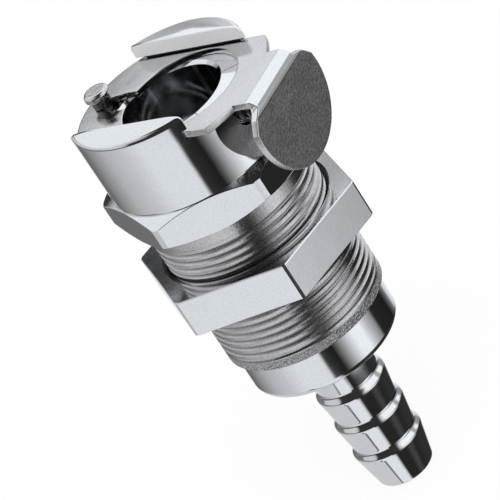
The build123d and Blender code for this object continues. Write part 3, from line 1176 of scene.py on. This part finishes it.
    def dress(self) -> None:
        """Makes the plate with its bend, and the pad."""
        made = piece("latch_plate", [self.plate()], Finish.PLATE, sharp=24.0)
        second_finish(
            made, Finish.SHEARED,
            lambda at, n: (np.abs(n[:, 2]) < self.steep) & (off_axis(at) > self.sheared_r),
        )
        hang(made, Body.LATCH, Slot.LATCH, "thumb_latch")
        # The bend takes the nut's brighter plating, not the plate's darker one: a painted highlight on the
        # bend.
        made = piece("latch_bend", [self.bend()], Finish.NUT)
        second_finish(made, Finish.SHEARED, lambda at, n: np.abs(n[:, 1]) > self.sideways)
        hang(made, Body.LATCH, Slot.LATCH)
        made = piece("thumb_pad", [self.pad()], Finish.SHEARED, sharp=24.0)
        # The pad's faces take the satin finish, whose low colour is a painted reflection of a dark surround.
        second_finish(made, Finish.PAD, lambda at, n: np.abs(n[:, 0]) > SQUARE)
        hang(made, Body.LATCH, Slot.LATCH)


@dataclass
class TriggerPin:
    """Pin with a round-edged head, a shank painted dark as shade under the head, a waist in the keyhole, a
    cone and a guided body.
    """

    x: float = -9.05
    r: float = 1.5
    head_r: float = 1.68
    head_end: float = 14.3
    shank_r: float = 1.25
    waist_r: float = 0.95
    top: float = 15.36
    head_round: float = 0.5
    head_lead: float = 0.15
    waist_top: float = 13.25
    waist_end: float = 12.15
    cone: float = 0.9
    foot: float = 8.65
    columns: int = 96

    def surface(self) -> Grid:
        """The pin turned from its profile."""
        profile = rounded([
            (0, self.top, 0), (self.head_r, self.top, self.head_round),
            (self.head_r, self.head_end + self.head_lead, 0.1),
            (self.shank_r, self.head_end, 0.05), (self.shank_r, self.waist_top, 0.08),
            (self.waist_r, self.waist_top, 0.05), (self.waist_r, self.waist_end, 0),
            (self.r, self.waist_end - self.cone, 0), (self.r, self.foot, 0.1), (0, self.foot, 0),
        ], steps=10)
        return Grid(turned(profile, full_turn(self.columns)) + (self.x, 0, 0))

    def dress(self) -> None:
        """Makes the pin."""
        made = piece("trigger_pin_turned", [self.surface()], Finish.PIN)
        shank_top = self.head_end + self.head_lead / 3
        # The pin below its head is painted dark: a painted shade under the head.
        second_finish(made, Finish.SHANK_PAINTED_SHADE, lambda at, n: at[:, 2] < shank_top)
        hang(made, Body.PIN, Slot.PIN, "trigger_pin")


@dataclass
class Coil:
    """A compression spring of round wire with closed ends."""

    name: str
    node: str
    joint: str
    foot: tuple
    axis: tuple
    length: float
    r: float
    wire: float
    turns: float
    keep: float
    closed: float = 0.9
    steps: int = 40
    sides: int = 14

    def surface(self) -> Grid:
        """The wire as a tube along a helix that stays level near both of its ends.

        Returns:
            The closed tube, set on its foot and turned to its axis.
        """
        share = np.linspace(0, 1, int(self.turns * self.steps) + 1)
        flat = self.closed / self.turns
        rise = np.clip((share - flat / 2) / (1 - flat), 0, 1)
        angle = share * self.turns * 2 * math.pi
        along = self.wire / 2 + rise * (self.length - self.wire)
        centre = about_axis(self.r, angle, along)
        tangent = np.gradient(centre, axis=0)
        tangent /= np.linalg.norm(tangent, axis=1, keepdims=True)
        outward = about_axis(1, angle, 0)
        side = np.cross(tangent, outward)
        around = full_turn(self.sides)[None, :, None]
        ring = np.cos(around) * outward[:, None] + np.sin(around) * side[:, None]
        tube = centre[:, None] + self.wire / 2 * ring
        up = np.array(Vector(self.axis).to_track_quat("Z", "Y").to_matrix())
        return Grid(capped(tube, centre[0], centre[-1]).points @ up.T + np.array(self.foot))

    def dress(self) -> None:
        """Makes the spring."""
        made = piece(self.name, [self.surface()], Finish.WIRE, sharp=50.0)
        hang(made, Body.HOUSING, Slot.SPRING, self.node)
        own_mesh(made)


@dataclass(frozen=True)
class Band:
    """Brightness round the tent, from some elevation up: it takes over between start and end."""

    start: float
    end: float
    stops: tuple


TENT = (
    Band(-90.0, -89.0, (
        (-227, 0.62), (-112, 0.64), (-104.5, 0.64), (-102, 0.1), (-98.5, 0.1), (-95.5, 0.85),
        (-60, 0.85), (-54, 0.5), (-49, 0.02), (-12, 0.02), (8, 0.06), (28, 0.02), (62, 0.03),
        (104, 0.03), (116, 0.3), (124, 0.85), (133, 0.9),
    )),
    Band(-35.0, -33.4, (
        (-227, 0.1), (-218, 0.1), (-215.5, 0.95), (-213, 0.95), (-204, 0.14), (-190, 0.16),
        (-179, 0.24), (-163, 0.36), (-150, 0.48), (-125, 0.60), (-100, 0.8), (-63, 0.8), (-59, 0.03),
        (-41, 0.012), (-35, 0.12), (-27, 0.35), (-19, 0.62), (-9, 0.95), (5, 1.0), (14, 0.66),
        (21, 0.46), (30, 0.27), (35, 0.02), (72, 0.012), (80, 0.08), (88, 0.2), (95, 0.65),
        (108, 0.82), (133, 0.95),
    )),
    Band(-13.5, -11.5, (
        (-227, 0.3), (-182, 0.2), (-120, 0.12), (-104, 0.03), (-38, 0.03), (-29, 0.4), (-15, 0.8),
        (0, 0.5), (20, 0.3), (100, 0.3), (133, 0.4),
    )),
    Band(1.0, 5.0, (
        (-227, 0.5), (-225.5, 0.5), (-223, 0.04), (-203, 0.04), (-196, 0.6), (-184, 0.6),
        (-130, 0.65), (-114, 0.6), (-106, 0.03), (-38, 0.03), (-29, 0.6), (-20, 1.0), (30, 1.0),
        (36, 0.4), (44, 0.4), (50, 1.0), (100, 1.0), (118, 0.8), (128, 0.36), (133, 0.5),
    )),
    Band(32.4, 33.2, (
        (-227, 0.9), (-150, 0.85), (-115, 0.6), (-92, 0.3), (-86, 0.03), (-30, 0.03), (-15, 0.5),
        (0, 1.0), (133, 1.0),
    )),
    Band(68.0, 74.0, ((-227, 0.02), (133, 0.02))),
)


@dataclass
class Studio:
    """Camera, floor, soft light and the tent of cards that the plating reflects."""

    place: tuple = (284.2, -288.9, 207.4)
    right: tuple = (0.77657, 0.40308, -0.48422)
    forward: tuple = (-0.61998, 0.62570, -0.47343)
    lens: float = 277.9
    sensor: float = 36.0
    floor: float = -47.9
    floor_half: float = 1500.0
    floor_glow: float = 0.9
    ambient: float = 0.75
    floor_white: tuple = (0.95, 0.95, 0.95)
    white: tuple = (1.0, 1.0, 1.0)
    clip: tuple = (0.01, 10.0)
    tent_r: float = 160.0
    tent_z: float = -15.0
    tent_columns: int = 64
    tent_rows: int = 33
    seam: float = -227.0
    cool: tuple = (0.94, 0.97, 1.0)
    cool_gain: float = 1.4
    glow: float = 1.07
    lamp_place: tuple = (300.0, -300.0, 700.0)
    lamp_size: float = 600.0
    lamp_power: float = 3.0

    def camera(self) -> None:
        """Places the camera."""
        data = bpy.data.cameras.new("camera")
        data.lens, data.sensor_width = self.lens, self.sensor
        data.clip_start, data.clip_end = self.clip
        made = linked("camera", data)
        right, forward = Vector(self.right).normalized(), Vector(self.forward).normalized()
        up = right.cross(forward).normalized()
        axes = Matrix((right, up, -forward)).transposed().to_4x4()
        made.matrix_world = Matrix.Translation(Vector(self.place) * MM) @ axes
        bpy.context.scene.camera = made

    def world(self) -> None:
        """A plain white surround that lights evenly."""
        world = bpy.data.worlds.new("surround")
        world.use_nodes = True
        bpy.context.scene.world = world
        graph = Graph(world.node_tree)
        path = graph.node("ShaderNodeLightPath")
        strength = path.step(0.0, 1.0, self.ambient, 1.0)
        back = graph.node("ShaderNodeBackground", None, self.white, strength)
        graph.node("ShaderNodeOutputWorld", None, back)

    def ground(self) -> None:
        """A white floor that keeps a faint shadow."""
        side = np.array([-self.floor_half, self.floor_half])
        corners = np.stack([*np.meshgrid(side, side), np.full((2, 2), self.floor)], -1)
        material, graph = new_material("floor_white")
        path = graph.node("ShaderNodeLightPath")
        plain = graph.node("ShaderNodeBsdfDiffuse", None, self.floor_white)
        lit = graph.node("ShaderNodeEmission", None, self.white, 1.0)
        both = graph.node("ShaderNodeMixShader", None, path * self.floor_glow, plain, lit)
        graph.node("ShaderNodeOutputMaterial", None, both)
        made = piece("floor", [Grid(corners, wraps=False)], material)
        made.visible_glossy = False

    def ramp(self, graph: Graph, turn: Value, stops: tuple) -> Value:
        """Brightness round the tent, bluer where it is brighter.

        Args:
            graph: the tent's node tree.
            turn: azimuth in degrees, counted on from the seam.
            stops: (azimuth, brightness) pairs in order.

        Returns:
            The colour at that azimuth.
        """
        warmth = 1 - np.array(self.cool)
        colours = []
        for place, b in stops:
            colour = b * (1 - warmth * min(1.0, b * self.cool_gain))
            colours.append(((place - self.seam) / 360.0, tuple(colour.tolist())))
        return graph.node("ShaderNodeValToRGB", {"stops": colours}, (turn - self.seam) / 360.0)

    def tent(self) -> None:
        """The reflected studio: a sphere of bright cards and dark gaps, seen by reflections only."""
        angle = full_turn(self.tent_columns)
        tilt = np.radians(np.linspace(-90, 90, self.tent_rows))
        arc = np.stack([self.tent_r * np.cos(tilt), self.tent_z + self.tent_r * np.sin(tilt)], 1)
        ball = turned(arc, angle)
        material, graph = new_material("tent_cards")
        x, y, z = graph.split(graph.place())
        degrees = 180.0 / math.pi
        turn = (y.angle_over(x) * degrees - self.seam) % 360.0 + self.seam
        height = ((z - self.tent_z * MM) / (self.tent_r * MM)).arcsine() * degrees
        colour = self.ramp(graph, turn, TENT[0].stops)
        for band in TENT[1:]:
            brightness = self.ramp(graph, turn, band.stops)
            colour = graph.mix(height.step(band.start, band.end), colour, brightness)
        glow = graph.node("ShaderNodeEmission", None, colour, self.glow)
        graph.node("ShaderNodeOutputMaterial", None, glow)
        made = piece("tent", [Grid(ball)], material)
        for ray in ("camera", "diffuse", "transmission", "shadow", "volume_scatter"):
            setattr(made, "visible_" + ray, False)

    def lamp(self) -> None:
        """One large soft lamp from above, which the plating doesn't mirror."""
        data = bpy.data.lights.new("soft_lamp", "AREA")
        data.size, data.energy = self.lamp_size * MM, self.lamp_power
        made = linked("soft_lamp", data)
        made.location = Vector(self.lamp_place) * MM
        made.rotation_mode = "QUATERNION"
        made.rotation_quaternion = Vector(made.location).to_track_quat("Z", "Y")
        made.visible_glossy = False

    def build(self) -> None:
        """Sets the studio up."""
        self.camera()
        self.world()
        self.ground()
        self.tent()
        self.lamp()
        bpy.context.scene.view_settings.view_transform = "Standard"


def dress_hidden(frame: dict) -> None:
    """Gives the CAD pieces inside the housing their finish.
    """
    for node, finish in (
        ("adapter_seal", Finish.SEAL), ("poppet_seal", Finish.SEAL), ("valve_poppet", Finish.VALVE),
        ("valve_guide", Finish.VALVE), ("trigger_pin_spring", Finish.WIRE),
    ):
        mesh = frame["nodes"][node].data
        mesh.materials.clear()
        mesh.materials.append(finish.material)


def main() -> None:
    """Builds the studio and every sub-assembly in order."""
    logging.basicConfig(level=logging.INFO, format="%(name)s: %(message)s")
    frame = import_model()
    Studio().build()
    for part in (Head(), Ears(), Flange(), Barrel(), PanelNut(), HoseStem(), ThumbLatch(), TriggerPin()):
        part.dress()
    for coil in (
        Coil(
            "thumb_latch_coil", "latch_spring", "latch_slide", foot=(7.7, 0, 9.6), axis=(1, 0, 0),
            length=7.85, r=1.8, wire=0.45, turns=7, keep=0.669,
        ),
        Coil(
            "valve_coil", "valve_spring", "valve_slide", foot=(0, 0, -16.38), axis=(0, 0, 1),
            length=9.53, r=4.1, wire=0.7, turns=5, keep=0.738,
        ),
    ):
        coil.dress()
    dress_hidden(frame)


if __name__ == "__main__":
    main()
